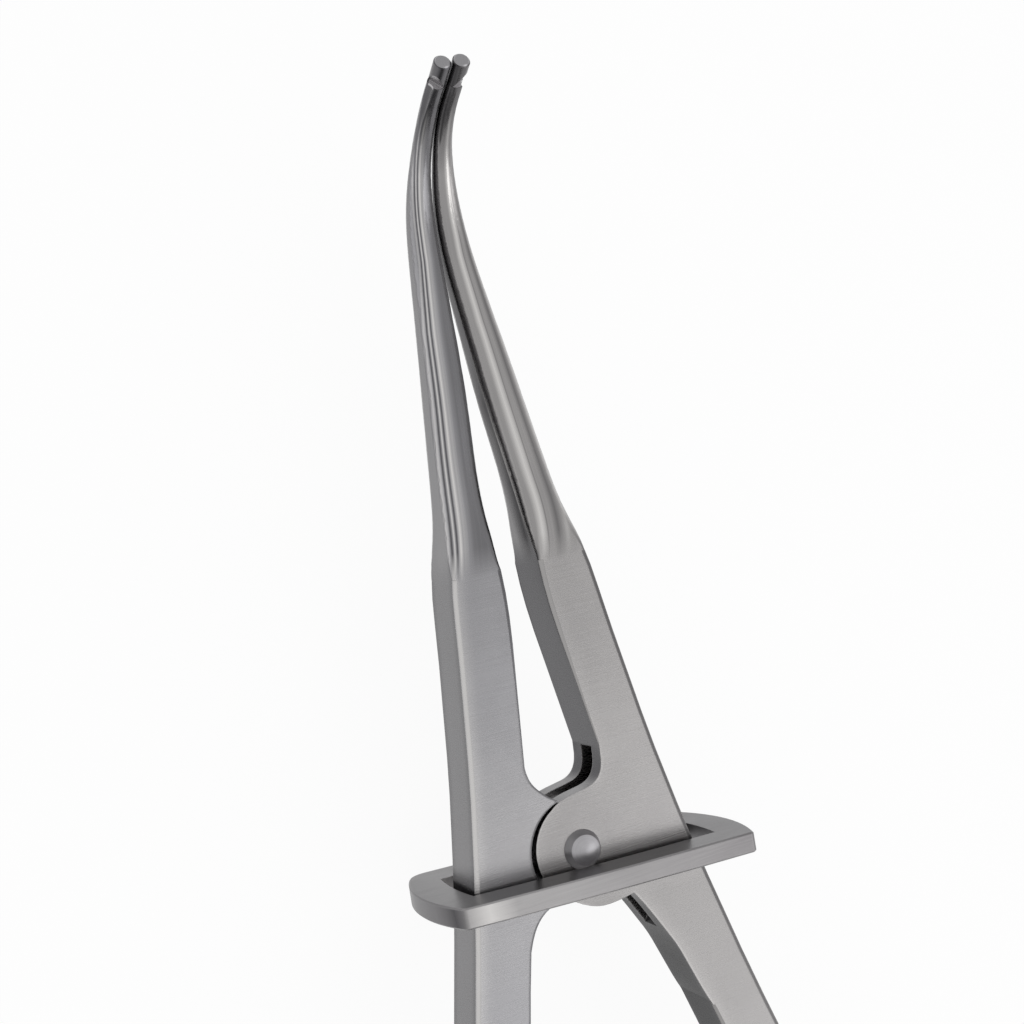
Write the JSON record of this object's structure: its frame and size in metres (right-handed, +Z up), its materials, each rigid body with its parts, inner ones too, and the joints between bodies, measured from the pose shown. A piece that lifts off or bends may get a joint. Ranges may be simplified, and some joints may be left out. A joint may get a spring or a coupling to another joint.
{
  "type": "rubber dam clamp forceps",
  "caption": "Reverse-action steel forceps with a box joint and a sliding lock ring; squeezing the handles spreads two bent, notched tips that stretch a rubber dam clamp.",
  "frame": {"origin": "middle of the box of the whole forceps in X and Y, at the level of the lock ring's lowest face", "axes": "+Y from the handles to the tips, +X towards the right arm, +Z up, the way the tips bend"},
  "size_m": [0.0548, 0.1689, 0.0239],
  "materials": {
    "arm_steel": "satin brushed stainless steel",
    "rivet_steel": "turned stainless steel",
    "ring_steel": "satin brushed stainless steel, brushed lengthways",
    "spring_steel": "polished spring steel",
    "screw_steel": "turned stainless steel"
  },
  "bodies": {
    "pivot": {"pivot_rivet": "rivet_steel"},
    "right_half": {"right_arm": "arm_steel"},
    "left_half": {"left_arm": "arm_steel"},
    "ring": {"lock_ring": "ring_steel"},
    "right_spring": {"right_leaf_spring": "spring_steel", "right_spring_screw": "screw_steel"},
    "left_spring": {"left_leaf_spring": "spring_steel", "left_spring_screw": "screw_steel"}
  },
  "joints": [
    {"name": "squeeze", "type": "hinge", "parent": "pivot", "child": "right_half", "pos_m": [0, 0.00927, 0.01035], "axis": [0, 0, -1], "range_deg": [0, 8], "stiffness_Nm_per_rad": 0.5, "springref_deg": -2.86},
    {"name": "left_swing", "type": "hinge", "parent": "pivot", "child": "left_half", "pos_m": [0, 0.00927, 0.01035], "axis": [0, 0, 1], "range_deg": [0, 8]},
    {"name": "ring_slide", "type": "slide", "parent": "pivot", "child": "ring", "axis": [-0.0576, -0.9983, 0], "range_m": [0, 0.0112]},
    {"name": "right_spring_flex", "type": "hinge", "parent": "right_half", "child": "right_spring", "pos_m": [0.0196, -0.05798, 0.01035], "axis": [0, 0, -1], "range_deg": [0, 6]},
    {"name": "left_spring_flex", "type": "hinge", "parent": "left_half", "child": "left_spring", "pos_m": [-0.0196, -0.05798, 0.01035], "axis": [0, 0, 1], "range_deg": [0, 6]}
  ],
  "couplings": [
    {"joint": "left_swing", "follows": "squeeze", "ratio": 1},
    {"joint": "ring_slide", "follows": "squeeze", "m_per_rad": 0.08},
    {"joint": "right_spring_flex", "follows": "squeeze", "ratio": 0.7},
    {"joint": "left_spring_flex", "follows": "squeeze", "ratio": 0.7}
  ]
}
